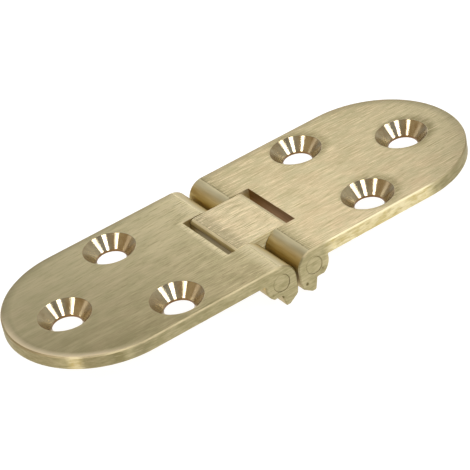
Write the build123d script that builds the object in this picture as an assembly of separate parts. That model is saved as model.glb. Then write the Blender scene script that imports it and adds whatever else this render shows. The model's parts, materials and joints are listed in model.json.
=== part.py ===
from build123d import *
from math import hypot, radians, sqrt, tan
import os

# A brass flap hinge: two leaves that meet at a seam, a link in a slot between them,
# and one pin through each leaf. X runs along the open hinge, Y along the pins, Z up.
# Depths are laid out downwards from the flush face, and the finished pieces are then
# lifted until the noses under the knuckles stand on z = 0. All sizes in millimetres.

# Leaves
LEAF_WIDTH = 30.0
LEAF_REACH = 41.0
LEAF_THICKNESS = 2.25
EDGE_BREAK = 0.2

# Knuckles: each is round about its pin, level with the flush face, and planed flat below
KNUCKLE_R = 2.85
KNUCKLE_FLAT = 0.5
KNUCKLE_ROOT_R = 0.2
SEAM_GAP = 0.4

# Noses under the knuckles, which meet and stop the hinge when it is open flat
NOSE_WIDTH = 2.6
NOSE_ROOT_WIDTH = 3.15
NOSE_DEPTH = 7.25
NOSE_FACE_DEPTH = 4.7
NOSE_HEEL_DEPTH = 6.15
NOSE_HEEL_SETBACK = 0.3
NOSE_SOLE = 0.7
NOSE_HEEL_R = 0.6
NOSE_TOE_R = 0.3
NOSE_ROOT_R = 0.25

# Pins
PIN_D = 3.0
PIN_BEVEL = 0.1
PIN_RUNNING_GAP = 0.04

# Link
LINK_WIDTH = 12.4
LINK_END = 2.05
LINK_CORNER_R = 0.8
LINK_SIDE_GAP = 0.1
LINK_SWING_GAP = 0.05

# Screw holes: one near the rounded end and a pair nearer the seam
SCREW_HOLE_D = 4.7
SINK_D = 8.4
SINK_ANGLE = 90.0
TIP_HOLE_INSET = 9.0
PAIR_TO_TIP = 14.05
PAIR_SPACING = 19.0

# Places that follow from the sizes above
PIN_X = SEAM_GAP / 2 + KNUCKLE_R
PIN_DEPTH = KNUCKLE_R
KNUCKLE_DEPTH = 2 * KNUCKLE_R - KNUCKLE_FLAT
SWING_R = LINK_CORNER_R + hypot(LINK_END - LINK_CORNER_R, PIN_DEPTH - LINK_CORNER_R)
SLOT_END = PIN_X + SWING_R + LINK_SWING_GAP
SLOT_WIDTH = LINK_WIDTH + 2 * LINK_SIDE_GAP
TIP_HOLE_X = LEAF_REACH - TIP_HOLE_INSET
PAIR_X = TIP_HOLE_X - PAIR_TO_TIP
CUT_OVER = 1.0


def nose_outline():
    """The nose from the seam face down to its toe, as seen from the near end."""
    seam = SEAM_GAP / 2
    heel = (seam + NOSE_HEEL_SETBACK, -NOSE_HEEL_DEPTH)
    toe = (seam + NOSE_WIDTH, -NOSE_DEPTH)
    sole = (toe[0] - NOSE_SOLE, -NOSE_DEPTH)
    root_x = seam + NOSE_ROOT_WIDTH
    outline = Polyline(
        (seam, -PIN_DEPTH), (seam, -NOSE_FACE_DEPTH), heel, sole, toe,
        (root_x, -KNUCKLE_DEPTH), (root_x, -PIN_DEPTH),
        close=True,
    )
    nose = make_face(outline)
    nose = fillet(nearest_corner(nose, heel), NOSE_HEEL_R)
    return fillet(nearest_corner(nose, toe), NOSE_TOE_R)


def nearest_corner(face, place):
    return face.vertices().sort_by_distance((*place, 0))[0]


def leaf_section():
    """Section of the drawn bar that a leaf is cut from: plate, knuckle and nose in one."""
    plate_length = LEAF_REACH - PIN_X
    plate = Pos(PIN_X + plate_length / 2, -LEAF_THICKNESS / 2) * Rectangle(
        plate_length, LEAF_THICKNESS
    )
    knuckle = Pos(PIN_X, -PIN_DEPTH) * Circle(KNUCKLE_R)
    knuckle &= Pos(PIN_X, -KNUCKLE_DEPTH / 2) * Rectangle(2 * KNUCKLE_R, KNUCKLE_DEPTH)
    section = plate + knuckle + nose_outline()
    below_axis = LEAF_THICKNESS - PIN_DEPTH
    root = (PIN_X + sqrt(KNUCKLE_R**2 - below_axis**2), -LEAF_THICKNESS)
    section = fillet(nearest_corner(section, root), KNUCKLE_ROOT_R)
    nose_root = (SEAM_GAP / 2 + NOSE_ROOT_WIDTH, -KNUCKLE_DEPTH)
    return fillet(nearest_corner(section, nose_root), NOSE_ROOT_R)


def across(section, width):
    """A section drawn in X and Z, pulled out evenly to both sides of the middle."""
    return extrude(Plane.XZ * section, width / 2, both=True)


def leaf_plan():
    """Plan of a leaf: straight sides from the middle of the hinge and a half-round end."""
    end_r = LEAF_WIDTH / 2
    straight = LEAF_REACH - end_r
    return Pos(straight / 2, 0) * Rectangle(straight, LEAF_WIDTH) + Pos(straight, 0) * Circle(end_r)


def leaf_blank():
    """The bar cut to the plan, with its outer edges broken by a small bevel."""
    column = extrude(leaf_plan(), NOSE_DEPTH + CUT_OVER, both=True)
    blank = across(leaf_section(), LEAF_WIDTH) & column
    side_edges = blank.faces().filter_by(Axis.Y).edges()
    end_edges = blank.faces().sort_by(Axis.X)[-1].edges().filter_by(GeomType.CIRCLE)
    return chamfer(side_edges + end_edges, EDGE_BREAK)


def link_slot():
    """The opening for the link, through the leaf and out at the seam."""
    depth = NOSE_DEPTH + CUT_OVER
    return Pos(SLOT_END / 2, 0, 0) * Box(SLOT_END, SLOT_WIDTH, 2 * depth)


def pin_bore(radius, width):
    return Pos(PIN_X, 0, -PIN_DEPTH) * Rot(90, 0, 0) * Cylinder(radius, width)


def screw_hole(x, y):
    """A countersunk hole from the flush face."""
    sink_depth = (SINK_D - SCREW_HOLE_D) / 2 / tan(radians(SINK_ANGLE / 2))
    sink = Pos(x, y, -sink_depth / 2) * Cone(SCREW_HOLE_D / 2, SINK_D / 2, sink_depth)
    return sink + Pos(x, y) * Cylinder(SCREW_HOLE_D / 2, 2 * LEAF_THICKNESS + CUT_OVER)


def right_leaf():
    leaf = leaf_blank() - link_slot() - pin_bore(PIN_D / 2, LEAF_WIDTH + CUT_OVER)
    leaf -= screw_hole(TIP_HOLE_X, 0)
    for side in (-1, 1):
        leaf -= screw_hole(PAIR_X, side * PAIR_SPACING / 2)
    return leaf


def right_pin():
    """A plain pin, flush with both sides of its leaf."""
    pin = pin_bore(PIN_D / 2, LEAF_WIDTH)
    return chamfer(pin.edges().filter_by(GeomType.CIRCLE), PIN_BEVEL)


def link():
    """A flat-topped bar with an eye at each end, rounded below to turn about its pin."""
    reach = PIN_X + LINK_END
    top_height = PIN_DEPTH
    bar = Pos(0, -top_height / 2) * Rectangle(2 * reach, top_height)
    bar = fillet(bar.vertices().group_by(Axis.Y)[-1], LINK_CORNER_R)
    web = Pos(0, -PIN_DEPTH - LINK_END / 2) * Rectangle(2 * PIN_X, LINK_END)
    section = bar + web
    for side in (-1, 1):
        section += Pos(side * PIN_X, -PIN_DEPTH) * Circle(LINK_END)
    body = across(section, LINK_WIDTH)
    eye = pin_bore(PIN_D / 2 + PIN_RUNNING_GAP, LINK_WIDTH + CUT_OVER)
    return body - eye - mirror(eye, Plane.YZ)


def hinge():
    leaf, pin = right_leaf(), right_pin()
    return {
        "left_leaf": mirror(leaf, Plane.YZ),
        "right_leaf": leaf,
        "link": link(),
        "left_pin": mirror(pin, Plane.YZ),
        "right_pin": pin,
    }


os.makedirs("parts", exist_ok=True)
for node, piece in hinge().items():
    export_step(Pos(0, 0, NOSE_DEPTH) * piece, f"parts/{node}.step")
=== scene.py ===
import json
from math import hypot, pi, radians

import bpy
from mathutils import Euler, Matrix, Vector

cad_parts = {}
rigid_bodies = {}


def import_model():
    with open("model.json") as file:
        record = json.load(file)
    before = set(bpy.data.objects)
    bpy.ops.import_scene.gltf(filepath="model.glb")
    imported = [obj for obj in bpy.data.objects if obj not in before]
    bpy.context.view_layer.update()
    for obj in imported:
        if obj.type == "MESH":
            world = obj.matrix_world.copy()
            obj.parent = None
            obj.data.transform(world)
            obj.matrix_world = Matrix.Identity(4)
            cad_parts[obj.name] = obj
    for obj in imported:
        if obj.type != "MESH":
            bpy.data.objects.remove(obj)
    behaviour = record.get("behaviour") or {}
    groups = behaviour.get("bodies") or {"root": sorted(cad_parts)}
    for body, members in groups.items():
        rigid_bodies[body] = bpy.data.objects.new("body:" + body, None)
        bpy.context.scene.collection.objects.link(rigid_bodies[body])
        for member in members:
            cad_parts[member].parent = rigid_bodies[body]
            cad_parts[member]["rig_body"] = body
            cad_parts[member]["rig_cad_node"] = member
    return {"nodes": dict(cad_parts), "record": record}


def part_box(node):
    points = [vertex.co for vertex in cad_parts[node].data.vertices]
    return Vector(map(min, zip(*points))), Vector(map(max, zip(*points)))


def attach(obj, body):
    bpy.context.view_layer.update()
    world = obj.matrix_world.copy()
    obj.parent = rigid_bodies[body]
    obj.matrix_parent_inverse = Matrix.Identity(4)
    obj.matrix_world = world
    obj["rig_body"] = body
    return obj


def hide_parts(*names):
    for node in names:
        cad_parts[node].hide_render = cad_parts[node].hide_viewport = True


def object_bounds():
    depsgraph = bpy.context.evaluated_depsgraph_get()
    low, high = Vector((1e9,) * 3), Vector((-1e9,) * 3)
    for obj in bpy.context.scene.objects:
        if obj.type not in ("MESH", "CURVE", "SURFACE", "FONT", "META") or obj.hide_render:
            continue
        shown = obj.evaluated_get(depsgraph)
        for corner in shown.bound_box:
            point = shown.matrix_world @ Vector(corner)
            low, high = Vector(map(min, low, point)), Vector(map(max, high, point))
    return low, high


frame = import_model()
cad_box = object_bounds()

# The leaves
# Each leaf is one length of drawn brass bar with its plate, knuckle and nose in one. The flush
# face is linished along the hinge, the sides are left as sawn and filed, and the screw holes
# are drilled and countersunk in the plate.
LEAF_REACH, LEAF_HALF, LEAF_TOP = cad_box[1]
LINK_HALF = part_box("link")[1].y
right_pivot = frame["record"]["behaviour"]["joints"][1]
PIN_X, _, PIN_HEIGHT = right_pivot["pos_m"]
KNUCKLE_REACH = 0.0061
HOLE_R = 0.00235
SINK_RIM_R = 0.0042
RIM_ROUNDING = 0.00005
FULL_ROUNDING = 0.00013
ROUNDING_STEPS = 3
MERGE_DISTANCE = 1e-6
FLAT_WITHIN = radians(0.5)
SHARP_ANGLE = radians(30)
MARGIN = 0.0003

# A place past every piece, and the two values between which most of a pattern's noise lies
BEYOND = 0.1
MARK_SPAN = (0.35, 0.65)

# How far a face's normal points up or along an axis, which tells the way that the face looks
LEVEL = 0.99
SUNK = 0.95
CONE = (0.68, 0.74)
UPRIGHT = 0.1
SQUARE_ON = 0.9
FARWARD = 0.2

hole_places = []
for mount in frame["record"]["mounts"]:
    x, y, _ = mount["pos_m"]
    if mount["name"].endswith("tip_hole"):
        hole_places.append((x, y))
    if mount["name"].endswith("screw_pair"):
        half_spacing = mount["dims"]["spacing_y_mm"] / 2000
        hole_places += [(x, y - half_spacing), (x, y + half_spacing)]


def linear(hex_colour):
    """An sRGB hex colour as the linear colour that a shader socket takes."""
    channels = [int(hex_colour[i : i + 2], 16) / 255 for i in (0, 2, 4)]
    return (*[c / 12.92 if c <= 0.04045 else ((c + 0.055) / 1.055) ** 2.4 for c in channels], 1.0)


def add(tree, kind, inputs=(), **settings):
    """Adds a shader node, sets its settings, and gives its inputs a link, a value or a hex colour."""
    node = tree.nodes.new(kind)
    for name, value in settings.items():
        setattr(node, name, value)
    for name, value in dict(inputs).items():
        if isinstance(value, bpy.types.NodeSocket):
            tree.links.new(value, node.inputs[name])
        else:
            node.inputs[name].default_value = linear(value) if isinstance(value, str) else value
    return node


def new_material(name):
    """An empty material and its node tree."""
    material = bpy.data.materials.new(name)
    material.use_nodes = True
    material.node_tree.nodes.clear()
    return material, material.node_tree


def tool_marks(tree, size, slant=0.0, **inputs):
    """Uneven marks of the given length, width and height in metres, slanted about Z."""
    place = add(tree, "ShaderNodeTexCoord").outputs["Object"]
    laid = add(
        tree, "ShaderNodeMapping", {"Vector": place, "Scale": size, "Rotation": (0.0, 0.0, slant)},
        vector_type="TEXTURE",
    )
    noise = add(tree, "ShaderNodeTexNoise", {"Vector": laid.outputs["Vector"], "Scale": 1.0, **inputs})
    return noise.outputs["Fac"]


def toned(tree, tone, other, factor, start=0.0, full=1.0, share=1.0):
    """A tone that turns to another, by up to a share, as a factor goes from start to full."""
    amount = add(
        tree, "ShaderNodeMapRange",
        {"Value": factor, "From Min": start, "From Max": full, "To Max": share},
    )
    mix = add(tree, "ShaderNodeMix", {0: amount.outputs["Result"], 6: tone, 7: other}, data_type="RGBA")
    return mix.outputs[2]


def between(tree, axis, low, high, fade, factor=1.0):
    """A factor kept where a place lies between two others along an axis, and 0 past a soft edge."""
    place = add(tree, "ShaderNodeTexCoord").outputs["Object"]
    along = add(tree, "ShaderNodeSeparateXYZ", {"Vector": place}).outputs[axis]
    for edge, past in ((low, low - fade), (high, high + fade)):
        side = add(
            tree, "ShaderNodeMapRange",
            {"Value": along, "From Min": past, "From Max": edge, "To Max": factor},
        )
        factor = side.outputs["Result"]
    return factor


def near_outline(tree, reach):
    """0 inside the leaves' plan, rising to 1 over the last stretch before its outline."""
    place = add(tree, "ShaderNodeTexCoord").outputs["Object"]
    x, y, _ = add(tree, "ShaderNodeSeparateXYZ", {"Vector": place}).outputs
    along = add(tree, "ShaderNodeMath", {0: x}, operation="ABSOLUTE").outputs["Value"]
    straight = LEAF_REACH - LEAF_HALF
    past = add(tree, "ShaderNodeMath", {0: along, 1: straight}, operation="SUBTRACT").outputs["Value"]
    past = add(tree, "ShaderNodeMath", {0: past, 1: 0.0}, operation="MAXIMUM").outputs["Value"]
    flat = add(tree, "ShaderNodeCombineXYZ", {"X": past, "Y": y}).outputs["Vector"]
    gap = add(tree, "ShaderNodeVectorMath", {0: flat}, operation="LENGTH").outputs["Value"]
    rim = {"Value": gap, "From Min": LEAF_HALF - reach, "From Max": LEAF_HALF}
    return add(tree, "ShaderNodeMapRange", rim).outputs["Result"]


def brass(tree, tone, marks, relief, roughness, anisotropy=0.0, across=(0, 1, 0)):
    """The brass itself: a metal with its tone and gloss, and the relief of its tool marks.

    Where it is anisotropic, it scatters light most across the tool marks.
    """
    way = add(tree, "ShaderNodeCombineXYZ", dict(zip("XYZ", across)))
    turned_way = add(
        tree, "ShaderNodeVectorTransform", {"Vector": way.outputs["Vector"]},
        vector_type="VECTOR", convert_from="OBJECT", convert_to="WORLD",
    )
    bump = add(tree, "ShaderNodeBump", {"Height": marks, "Distance": relief, "Strength": 1.0})
    shader = add(
        tree, "ShaderNodeBsdfPrincipled",
        {"Base Color": tone, "Metallic": 1.0, "Roughness": roughness, "Anisotropic": anisotropy,
         "Tangent": turned_way.outputs["Vector"], "Normal": bump.outputs["Normal"]},
    )
    add(tree, "ShaderNodeOutputMaterial", {"Surface": shader.outputs["BSDF"]})


def stains(tree, size, low, high):
    """Soft patches of two tones, as large as the given size."""
    return toned(tree, low, high, tool_marks(tree, size, Detail=2.0), *MARK_SPAN)


def linished_brass(name, dull, warm, worn, groove, far, bite, patches, shaded_holes=()):
    """Brass rubbed along the hinge on a belt: light and dull streaks over a soft sheen.

    The real grit is too fine to show, so the streaks are drawn about twice as coarse. They bite
    by one share at the left end and by another from the seam on. The face turns to its far tone
    toward the far side, a painted change of light across the face. Its far rim has painted shade,
    and the near rim of the left end has a painted highlight, a pale band. Each patch is a stretch
    of X and Y, its soft edge, and the tone that it turns to. Behind each given screw hole lies a
    dull crescent of painted shade.
    """
    cloud = (0.0032, 0.0028, 0.0032)
    worn_band = (0.014, 0.0014, 0.014)
    band_span = (0.45, 0.75)
    grit_line = (0.0038, 0.00022, 0.0038)
    belt_slant = radians(3)
    groove_span = (0.5, 0.36)
    crest_span = (0.5, 0.64)
    bite_span = (0.15, 0.85)
    dip_lag, dip_r, dip_fade, dip_shade_tone = 0.0007, 0.0041, 0.0013, "968A63"
    far_side = (-0.002, BEYOND, 0.008)
    far_rim, far_rim_shade_tone = 0.0018, "857B5C"
    left_end = (-BEYOND, -0.034, 0.008)
    near_side = (-BEYOND, 0.002, 0.006)
    pale_rim, pale_highlight_tone = 0.0013, "FFEBC6"
    material, tree = new_material(name)
    lines = tool_marks(tree, grit_line, belt_slant, Detail=4.0, Roughness=0.8)
    crossing = tool_marks(tree, grit_line, -belt_slant, Detail=4.0, Roughness=0.8)
    bands = tool_marks(tree, worn_band, Detail=2.0)
    tone = toned(tree, stains(tree, cloud, dull, warm), worn, bands, *band_span, share=0.4)
    # Toward the far side the face turns to its far tone: a painted change of light across the face.
    painted_far_light = between(tree, "Y", LEAF_HALF, LEAF_HALF, 2 * LEAF_HALF)
    tone = toned(tree, tone, far, painted_far_light, share=0.4)
    for x_low, x_high, y_half, fade, patch_tone in patches:
        lengthwise = between(tree, "X", x_low, x_high, fade)
        patch = between(tree, "Y", -y_half, y_half, fade, lengthwise)
        tone = toned(tree, tone, patch_tone, patch)
    place = add(tree, "ShaderNodeTexCoord").outputs["Object"]
    # Behind each given hole a dull crescent is laid: painted shade.
    for x, y in shaded_holes:
        behind = {0: place, 1: (x + dip_lag, y, LEAF_TOP)}
        gap = add(tree, "ShaderNodeVectorMath", behind, operation="DISTANCE").outputs["Value"]
        tone = toned(tree, tone, dip_shade_tone, gap, dip_r + dip_fade, dip_r, share=0.9)
    bitten = add(
        tree, "ShaderNodeMapRange",
        {"Value": between(tree, "X", 0.0, BEYOND, LEAF_REACH), "From Min": bite_span[0],
         "From Max": bite_span[1], "To Min": bite[0], "To Max": bite[1]},
    ).outputs["Result"]
    tone = toned(tree, tone, groove, lines, *groove_span, share=bitten)
    tone = toned(tree, tone, worn, crossing, *crest_span, share=bitten)
    # The far rim is darkened: painted shade along the far edge.
    far_rim_shade = between(tree, "Y", *far_side, near_outline(tree, far_rim))
    tone = toned(tree, tone, far_rim_shade_tone, far_rim_shade, share=0.6)
    # The near rim of the left end is painted pale: a painted highlight on its rounded edge.
    left_rim_highlight = between(tree, "X", *left_end, near_outline(tree, pale_rim))
    tone = toned(tree, tone, pale_highlight_tone, between(tree, "Y", *near_side, left_rim_highlight))
    brass(tree, tone, lines, relief=0.000002, roughness=0.40, anisotropy=1.0)
    return material


def painted_side_highlight(tree):
    """1 where a highlight is painted on the near side: by the right leaf's holes and the left tip."""
    holes_stretch = (0.0070, 0.0250, 0.0020)
    tip_stretch = (-0.0371, -0.0364, 0.0007)
    by_holes = between(tree, "X", *holes_stretch)
    by_tip = between(tree, "X", *tip_stretch)
    either = add(tree, "ShaderNodeMath", {0: by_holes, 1: by_tip}, operation="MAXIMUM")
    return either.outputs["Value"]


def filed_brass():
    """Brass filed square at its sides: duller and yellower than the face, with marks along it.

    It has a painted highlight on the near side by the right leaf's holes and at the left tip,
    and painted shade on a short stretch near the left tip. A few small pits in the drawn bar
    show as dark specks in the ends of the knuckles.
    """
    file_mark = (0.0018, 0.0018, 0.00022)
    groove_span = (0.5, 0.3)
    crest_span = (0.5, 0.7)
    spot = (0.0016, 0.0016, 0.0009)
    shaded_stretch = (-0.0318, -0.0309, 0.0013)
    pitted_stretch = (-KNUCKLE_REACH, 0.0045, MARGIN)
    pit_spacing = 0.0021
    pit_edge = (0.20, 0.12)
    material, tree = new_material("filed_brass")
    bright = painted_side_highlight(tree)
    marks = tool_marks(tree, file_mark, Detail=4.0, Roughness=0.65)
    dull = stains(tree, spot, "B4A97E", "C6BA8F")
    highlight_tone = stains(tree, spot, "DCC98A", "F8EABC")
    # Where the side highlight is painted, the tone turns to its paler copy.
    tone = toned(tree, dull, highlight_tone, bright)
    # A short stretch near the left tip is painted darker: painted shade.
    tone = toned(tree, tone, "958B62", between(tree, "X", *shaded_stretch))
    # The marks' dark and pale tones are painted brighter there too: part of the painted highlight.
    groove = toned(tree, "9D9064", "BDAC74", bright)
    crest = toned(tree, "DBCDA5", "FFF6D4", bright)
    tone = toned(tree, tone, groove, marks, *groove_span, share=0.6)
    tone = toned(tree, tone, crest, marks, *crest_span, share=0.6)
    place = add(tree, "ShaderNodeTexCoord").outputs["Object"]
    flat = add(tree, "ShaderNodeMapping", {"Vector": place, "Scale": (1.0, 0.0, 1.0)})
    cells = {"Vector": flat.outputs["Vector"], "Scale": 1 / pit_spacing}
    gap = add(tree, "ShaderNodeTexVoronoi", cells).outputs["Distance"]
    pitted = between(tree, "X", *pitted_stretch)
    tone = toned(tree, tone, "776A42", gap, *pit_edge, share=pitted)
    brass(tree, tone, marks, relief=0.000003, roughness=0.45, anisotropy=1.0, across=(0, 0, 1))
    return material


def turned_brass():
    """Brass cut by a countersink: each lamp shows as one bright streak down the cone."""
    ring = (0.002, 0.002, 0.0003)
    spot = (0.0016, 0.0016, 0.004)
    material, tree = new_material("turned_brass")
    rings = tool_marks(tree, ring, Detail=1.0)
    tone = stains(tree, spot, "C6B492", "DCD0B0")
    brass(tree, tone, rings, relief=0.0000002, roughness=0.18, anisotropy=1.0, across=(0, 0, 1))
    return material


def drawn_brass():
    """The round of a knuckle: gold where the draw bench left it, greyer where the belt reaches."""
    draw_line = (0.0012, 0.008, 0.0005)
    left_brow_light = (-BEYOND, -0.0001, 0.0001)
    belt_reach = (LEAF_TOP - 0.00018, LEAF_TOP, 0.0008)
    material, tree = new_material("drawn_brass")
    lines = tool_marks(tree, draw_line, Detail=3.0)
    gold = toned(tree, "BEA76C", "D6C48A", lines, *MARK_SPAN)
    belted_with_light = toned(tree, "D6CAA2", "EADEB6", lines, *MARK_SPAN)
    # On the left leaf the belted tone is painted paler: painted light on the top of the round.
    belted_with_light = toned(tree, belted_with_light, "FFF2CA", between(tree, "X", *left_brow_light))
    tone = toned(tree, gold, belted_with_light, between(tree, "Z", *belt_reach))
    brass(tree, tone, lines, relief=0.000002, roughness=0.5, anisotropy=0.6)
    return material


def milled_brass(name, low, high):
    """Brass as a cutter leaves it: plain, with the cutter's soft marks.

    It is brown in the bores and the slot and olive at the link's ends, darker tones that are painted
    shade in these hollows, and a dull yellow below.
    """
    cutter_mark = (0.0015, 0.0060, 0.0006)
    material, tree = new_material(name)
    marks = tool_marks(tree, cutter_mark, Detail=2.0)
    tone = toned(tree, low, high, marks, *MARK_SPAN)
    brass(tree, tone, marks, relief=0.000004, roughness=0.45)
    return material


def rubbed_edge_brass():
    """A painted highlight on the edge rounding that faces near: a thin pale line, brightest where the
    side's highlight is painted.
    """
    rub = (0.003, 0.003, 0.003)
    material, tree = new_material("rubbed_edge_brass")
    wear = tool_marks(tree, rub, Detail=2.0)
    usual = toned(tree, "B8AA86", "CCBE98", wear, *MARK_SPAN)
    tone = toned(tree, usual, "F0E4BE", painted_side_highlight(tree))
    brass(tree, tone, wear, relief=0.000001, roughness=0.5)
    return material


leaf_tops = {
    # The left face is duller over all, and paler by the seam and along the end of its slot. Its far
    # tone is lighter: painted light toward the far side.
    "left": linished_brass(
        "dulled_brass", dull="9C916A", warm="AB9C77", worn="D0C299", groove="887E57", far="F0E4BC",
        bite=(0.3, 0.9),
        patches=[
            (-PIN_X, PIN_X, BEYOND, 0.0022, "D2C5A0"),
            (-0.0068, -0.0063, 0.0063, 0.0006, "DACDA6"),
        ],
    ),
    # The right face is darker by the seam, a painted shade beside the knuckle, and paler in the middle
    # of its tip. Its far tone is darker: painted shade toward the far side.
    "right": linished_brass(
        "linished_brass", dull="C6B992", warm="CEB993", worn="EEDCB6", groove="A4976D", far="99916A",
        bite=(0.8, 0.8),
        patches=[
            (-PIN_X, PIN_X, BEYOND, 0.0020, "9E926C"),
            (0.0340, BEYOND, 0.0030, 0.0100, "D1C49C"),
        ],
        shaded_holes=[(x, y) for x, y in hole_places if x > 0],
    ),
}
filed = filed_brass()
turned = turned_brass()
drawn = drawn_brass()
edge_highlight = rubbed_edge_brass()
# The bores and the slot's walls are painted darker: painted shade in these hollows.
shaded_bore = milled_brass("bored_brass", "7A5C3A", "907048")
shaded_slot_wall = milled_brass("slot_brass", "A47C50", "B68E62")
skin_and_edge_shade = milled_brass("skin_brass", "B8A575", "BDAA7A")


def outline_gap(x, y):
    """How far a place lies inside the leaves' plan, a strip with two half-round ends."""
    past_straight = abs(x) - (LEAF_REACH - LEAF_HALF)
    return LEAF_HALF - (hypot(past_straight, y) if past_straight > 0 else abs(y))


def leaf_finish(face, top):
    """The finish of a leaf's face, by where it lies and which way it looks."""
    x, y, z = face.center
    look = face.normal
    hole_gap = min(hypot(x - hole_x, y - hole_y) for hole_x, hole_y in hole_places)
    at_outline = outline_gap(x, y) < MARGIN
    upright = abs(look.z) < UPRIGHT
    if hole_gap < HOLE_R + MARGIN and upright:
        return shaded_bore
    if hole_gap < SINK_RIM_R + MARGIN and look.z < SUNK:
        return turned
    if look.z > LEVEL:
        return top
    if at_outline and not upright and z > LEAF_TOP - 2 * MARGIN:
        # The top edge's rounding is painted: a highlight where it faces near, and shade, with the
        # darker underside brass, where it faces far.
        return skin_and_edge_shade if look.y > FARWARD else edge_highlight
    if at_outline:
        return filed
    if abs(x) < KNUCKLE_REACH and z > PIN_HEIGHT:
        return drawn
    if abs(y) < LINK_HALF + MARGIN and abs(look.x) > SQUARE_ON:
        return shaded_slot_wall
    return skin_and_edge_shade


def rim_rounding(start, end):
    """How much a leaf's edge between two places is rounded: only at the rims of its countersinks.

    Around its outline the leaf keeps the fine bevel of the solid.
    """
    for x, y in hole_places:
        gaps = [hypot(place.x - x, place.y - y) for place in (start, end)]
        if max(gaps) < SINK_RIM_R + MARGIN and min(start.z, end.z) > LEAF_TOP - MARGIN / 2:
            return RIM_ROUNDING
    return 0.0


def finished_copy(node, name, rounding_of):
    """A copy of a CAD node as one closed mesh, with its sharp edges rounded as the function says."""
    bpy.ops.object.select_all(action="DESELECT")
    source = frame["nodes"][node]
    source.select_set(True)
    bpy.context.view_layer.objects.active = source
    bpy.ops.object.duplicate()
    piece = bpy.context.object
    piece.name = name
    piece.parent = None
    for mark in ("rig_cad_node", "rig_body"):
        del piece[mark]
    bpy.ops.object.mode_set(mode="EDIT")
    bpy.ops.mesh.select_all(action="SELECT")
    bpy.ops.mesh.remove_doubles(threshold=MERGE_DISTANCE)
    bpy.ops.mesh.dissolve_limited(angle_limit=FLAT_WITHIN)
    bpy.ops.object.mode_set(mode="OBJECT")
    bpy.ops.mesh.customdata_custom_splitnormals_clear()
    piece.data.materials.clear()
    bpy.ops.object.shade_smooth_by_angle(angle=SHARP_ANGLE)
    places = [vertex.co for vertex in piece.data.vertices]
    share = piece.data.attributes.new("bevel_weight_edge", "FLOAT", "EDGE")
    for edge in piece.data.edges:
        if edge.use_edge_sharp:
            start, end = (places[index] for index in edge.vertices)
            share.data[edge.index].value = rounding_of(start, end) / FULL_ROUNDING
    rounding = piece.modifiers.new("rounding", "BEVEL")
    rounding.width = FULL_ROUNDING
    rounding.segments = ROUNDING_STEPS
    rounding.limit_method = "WEIGHT"
    bpy.ops.object.modifier_apply(modifier="rounding")
    bpy.ops.object.shade_smooth_by_angle(angle=SHARP_ANGLE)
    evenness = piece.modifiers.new("evenness", "WEIGHTED_NORMAL")
    evenness.keep_sharp = True
    bpy.ops.object.modifier_apply(modifier="evenness")
    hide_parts(node)
    return piece


def true_cones(leaf):
    """Gives the countersinks the shading of true cones, which their flat facets only come near."""
    mesh = leaf.data
    normals = [corner.vector.copy() for corner in mesh.corner_normals]
    for face in mesh.polygons:
        centre = face.center
        x, y = min(hole_places, key=lambda hole: hypot(centre.x - hole[0], centre.y - hole[1]))
        in_sink = HOLE_R < hypot(centre.x - x, centre.y - y) < SINK_RIM_R
        if in_sink and CONE[0] < face.normal.z < CONE[1]:
            for corner in face.loop_indices:
                place = mesh.vertices[mesh.loops[corner].vertex_index].co
                inward = Vector((x - place.x, y - place.y, 0.0)).normalized()
                normals[corner] = (inward + Vector((0.0, 0.0, 1.0))).normalized()
    mesh.normals_split_custom_set(normals)


def give_finishes(piece, finish_of):
    """Gives each face of a piece the finish that the function returns for it."""
    finishes = [finish_of(face) for face in piece.data.polygons]
    used = list(dict.fromkeys(finishes))
    for finish in used:
        piece.data.materials.append(finish)
    for face, finish in zip(piece.data.polygons, finishes):
        face.material_index = used.index(finish)


for side, top in leaf_tops.items():
    leaf = finished_copy(f"{side}_leaf", f"{side}_leaf_brass", rim_rounding)
    true_cones(leaf)
    give_finishes(leaf, lambda face: leaf_finish(face, top))
    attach(leaf, f"{side}_leaf")

# The link
# A short bar sawn from the same brass, drilled through both ends for the pins and rounded to
# swing about them. Its top is linished together with the leaves.
EYE_REACH = 0.0018
EYE_ROUNDING = 0.00006
SIDEWAYS = 0.5
STEEP = 0.75


def sawn_brass():
    """Brass at the side of the link: pale yellow, a painted light, with the saw's fine level lines."""
    saw_line = (0.004, 0.004, 0.00025)
    material, tree = new_material("sawn_brass")
    lines = tool_marks(tree, saw_line, Detail=3.0, Roughness=0.6)
    tone = toned(tree, "DAC88E", "FFF6D0", lines, *MARK_SPAN)
    brass(tree, tone, lines, relief=0.000004, roughness=0.5, anisotropy=1.0, across=(0, 0, 1))
    return material


def corner_brass(name, low, high):
    """The rounded end of the link, which swings clear of its slot, with a dull gloss: pale where light
    is painted on it, and darker where shade is painted.
    """
    scratch = (0.0005, 0.004, 0.0005)
    material, tree = new_material(name)
    wear = tool_marks(tree, scratch, Detail=2.0)
    tone = toned(tree, low, high, wear, *MARK_SPAN)
    brass(tree, tone, wear, relief=0.000001, roughness=0.7)
    return material


# The top of the link is duller toward its left end.
link_top = linished_brass(
    "linished_link_brass", dull="C7BA95", warm="CDB993", worn="F0DEB8", groove="A1946B", far="C7BA95",
    bite=(1.0, 1.0), patches=[(-BEYOND, -0.0032, BEYOND, 0.0012, "AC9E7C")],
)
# The link's sides are painted pale: painted light.
sawn = sawn_brass()
# The pale corner tone is painted light on the rounds' level and near-facing parts; the darker tone is
# painted shade on their steeper parts.
corner = corner_brass("corner_brass", "E8DCB8", "FAF0CC")
shaded_link_round = corner_brass("swung_brass", "C3B785", "D3C795")
# The link's ends, seen in the slots, are painted a darker olive: painted shade.
shaded_link_end = milled_brass("link_end_brass", "84754A", "978757")


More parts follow.
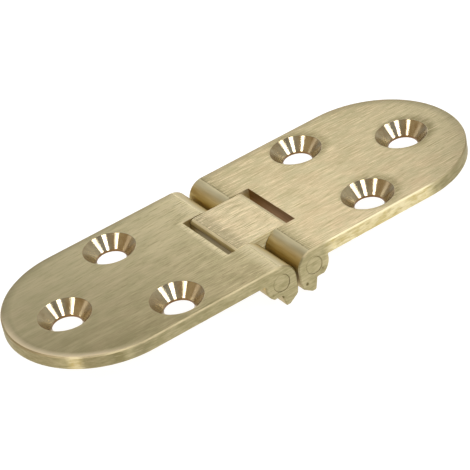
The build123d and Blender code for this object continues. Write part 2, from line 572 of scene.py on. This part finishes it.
def link_finish(face):
    """The finish of the link's face, by the way that it looks."""
    look = face.normal
    if look.z > LEVEL:
        return link_top
    if look.z > UPRIGHT and look.y < -UPRIGHT:
        return corner
    if abs(look.y) > SIDEWAYS:
        return sawn
    if look.z > STEEP:
        return corner
    if look.z > UPRIGHT:
        return shaded_link_round
    return shaded_link_end if abs(look.x) > SIDEWAYS else skin_and_edge_shade


def link_rounding(start, end):
    """How much an edge between two places is rounded: more along the sides than in the eyes."""
    on_side = all(abs(abs(place.y) - LINK_HALF) < MERGE_DISTANCE for place in (start, end))
    in_eye = hypot(abs(start.x) - PIN_X, start.z - PIN_HEIGHT) < EYE_REACH
    return FULL_ROUNDING if on_side and not in_eye else EYE_ROUNDING


link = finished_copy("link", "link_brass", link_rounding)
give_finishes(link, link_finish)
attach(link, "link")

# The pins
# Two plain rods cut from drawn brass wire and pressed through the knuckles. Their ends are
# filed flush with the sides of the leaf, so each shows only as a fine ring.
PIN_ROUNDING = 0.00006

for side in ("left", "right"):
    pin = finished_copy(f"{side}_pin", f"{side}_pin_brass", lambda start, end: PIN_ROUNDING)
    give_finishes(pin, lambda face: filed)
    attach(pin, f"{side}_leaf")

# The floor
# A plain white table top. It shows white to the camera and in the metal, and keeps a faint
# shadow under the hinge.
FLOOR_SIZE = 8.0
TABLE_GLOW = 0.95
TABLE_GREY = "898989"
WHITE = "FFFFFF"

bpy.ops.object.select_all(action="DESELECT")
bpy.ops.mesh.primitive_plane_add(size=FLOOR_SIZE, location=(0, 0, 0))
floor = bpy.context.object
floor.name = "floor"
table, table_tree = new_material("white_table")
seen_by = add(table_tree, "ShaderNodeLightPath").outputs
seen = seen_by["Is Camera Ray"]
for ray in ("Is Glossy Ray", "Is Transmission Ray"):
    either = add(table_tree, "ShaderNodeMath", {0: seen, 1: seen_by[ray]}, operation="MAXIMUM")
    seen = either.outputs["Value"]
level = add(table_tree, "ShaderNodeMath", {0: seen, 1: TABLE_GLOW}, operation="MULTIPLY")
matt = add(table_tree, "ShaderNodeBsdfDiffuse", {"Color": TABLE_GREY})
glow = add(table_tree, "ShaderNodeEmission", {"Color": WHITE, "Strength": level.outputs["Value"]})
both = add(table_tree, "ShaderNodeAddShader", {0: matt.outputs["BSDF"], 1: glow.outputs["Emission"]})
add(table_tree, "ShaderNodeOutputMaterial", {"Surface": both.outputs["Shader"]})
floor.data.materials.append(table)

# The lights
# A pale room, two tall soft boxes beyond the hinge that the flush face mirrors, three small
# soft lamps that the countersinks throw as streaks, and a dim panel at the left.
MIDDLE = Vector((0.0, 0.0, LEAF_TOP))
BOX_DISTANCE = 1.0
BOX_HEIGHT = 1.3
BOX_TURN = radians(20)
LAMP_DISTANCE = 1.2
LAMP_HEIGHT = 0.6
LAMP_RADIANCE = 7.0
PANEL_SIDE = 0.35

# The walls' colours are levels of light, which may pass 1. The room turns warm toward its left
# and bright toward its right, over these stretches of the way that one looks along X.
ROOM_LEVEL = 0.30
WARM_WALL = (1.3, 1.0, 0.62, 1.0)
WARM_FROM, WARM_FULL = -0.2, -0.6
BRIGHT_WALL = (1.5, 1.42, 1.25, 1.0)
BRIGHT_FROM, BRIGHT_FULL = 0.5, 0.75


def soft_lamp(name, direction, distance, width, height, radiance, turn=0.0):
    """A soft rectangular lamp that faces the hinge, with the brightness that its face shows."""
    toward = Vector(direction).normalized()
    data = bpy.data.lights.new(name, "AREA")
    data.shape = "RECTANGLE"
    data.size = width
    data.size_y = height
    data.energy = radiance * pi * width * height
    lamp = bpy.data.objects.new(name, data)
    lamp.location = MIDDLE + toward * distance
    facing = (-toward).to_track_quat("-Z", "Y")
    lamp.rotation_euler = (facing @ Euler((0, 0, turn)).to_quaternion()).to_euler()
    lamp.visible_camera = False
    bpy.context.scene.collection.objects.link(lamp)


soft_lamp("far_soft_box", (0.450, 0.73, 0.53), BOX_DISTANCE, 0.140, BOX_HEIGHT, 1.42, BOX_TURN)
soft_lamp("far_left_box", (0.23, 0.81, 0.53), BOX_DISTANCE, 0.26, BOX_HEIGHT, 0.72, BOX_TURN)
soft_lamp("right_lamp", (0.46, -0.52, 0.72), LAMP_DISTANCE, 0.19, LAMP_HEIGHT, LAMP_RADIANCE)
soft_lamp("middle_lamp", (-0.12, -0.54, 0.83), LAMP_DISTANCE, 0.23, LAMP_HEIGHT, LAMP_RADIANCE)
soft_lamp("left_lamp", (-0.64, -0.06, 0.76), LAMP_DISTANCE, 0.13, LAMP_HEIGHT, LAMP_RADIANCE)
soft_lamp("left_panel", (-0.58, 0.68, 0.44), LAMP_DISTANCE, PANEL_SIDE, PANEL_SIDE, 0.45)

world = bpy.data.worlds.new("pale_room")
bpy.context.scene.world = world
world.use_nodes = True
room = world.node_tree
room.nodes.clear()
way = add(room, "ShaderNodeTexCoord").outputs["Generated"]
across_room = add(room, "ShaderNodeSeparateXYZ", {"Vector": way}).outputs["X"]
walls = toned(room, WHITE, WARM_WALL, across_room, WARM_FROM, WARM_FULL)
walls = toned(room, walls, BRIGHT_WALL, across_room, BRIGHT_FROM, BRIGHT_FULL)
air = add(room, "ShaderNodeBackground", {"Color": walls, "Strength": ROOM_LEVEL})
add(room, "ShaderNodeOutputWorld", {"Surface": air.outputs["Background"]})

# The camera
# It looks down on the hinge from its near left, a little turned, through a long lens.
CAMERA_PLACE = Vector((-0.15284, -0.28085, 0.21688))
CAMERA_DIRECTION = Vector((0.38885, 0.73775, -0.55184))
CAMERA_ROLL = radians(-12.0)
LENS_MM = 190.45
LENS_SHIFT = (0.0458, 0.0040)
SENSOR_MM = 36.0
NEAREST_SEEN = 0.01

lens = bpy.data.cameras.new("camera")
lens.lens = LENS_MM
lens.sensor_width = SENSOR_MM
lens.shift_x, lens.shift_y = LENS_SHIFT
lens.clip_start = NEAREST_SEEN
camera = bpy.data.objects.new("camera", lens)
camera.location = CAMERA_PLACE
aimed = CAMERA_DIRECTION.to_track_quat("-Z", "Y")
camera.rotation_euler = (aimed @ Euler((0, 0, CAMERA_ROLL)).to_quaternion()).to_euler()
bpy.context.scene.collection.objects.link(camera)
bpy.context.scene.camera = camera
bpy.context.scene.view_settings.view_transform = "Standard"
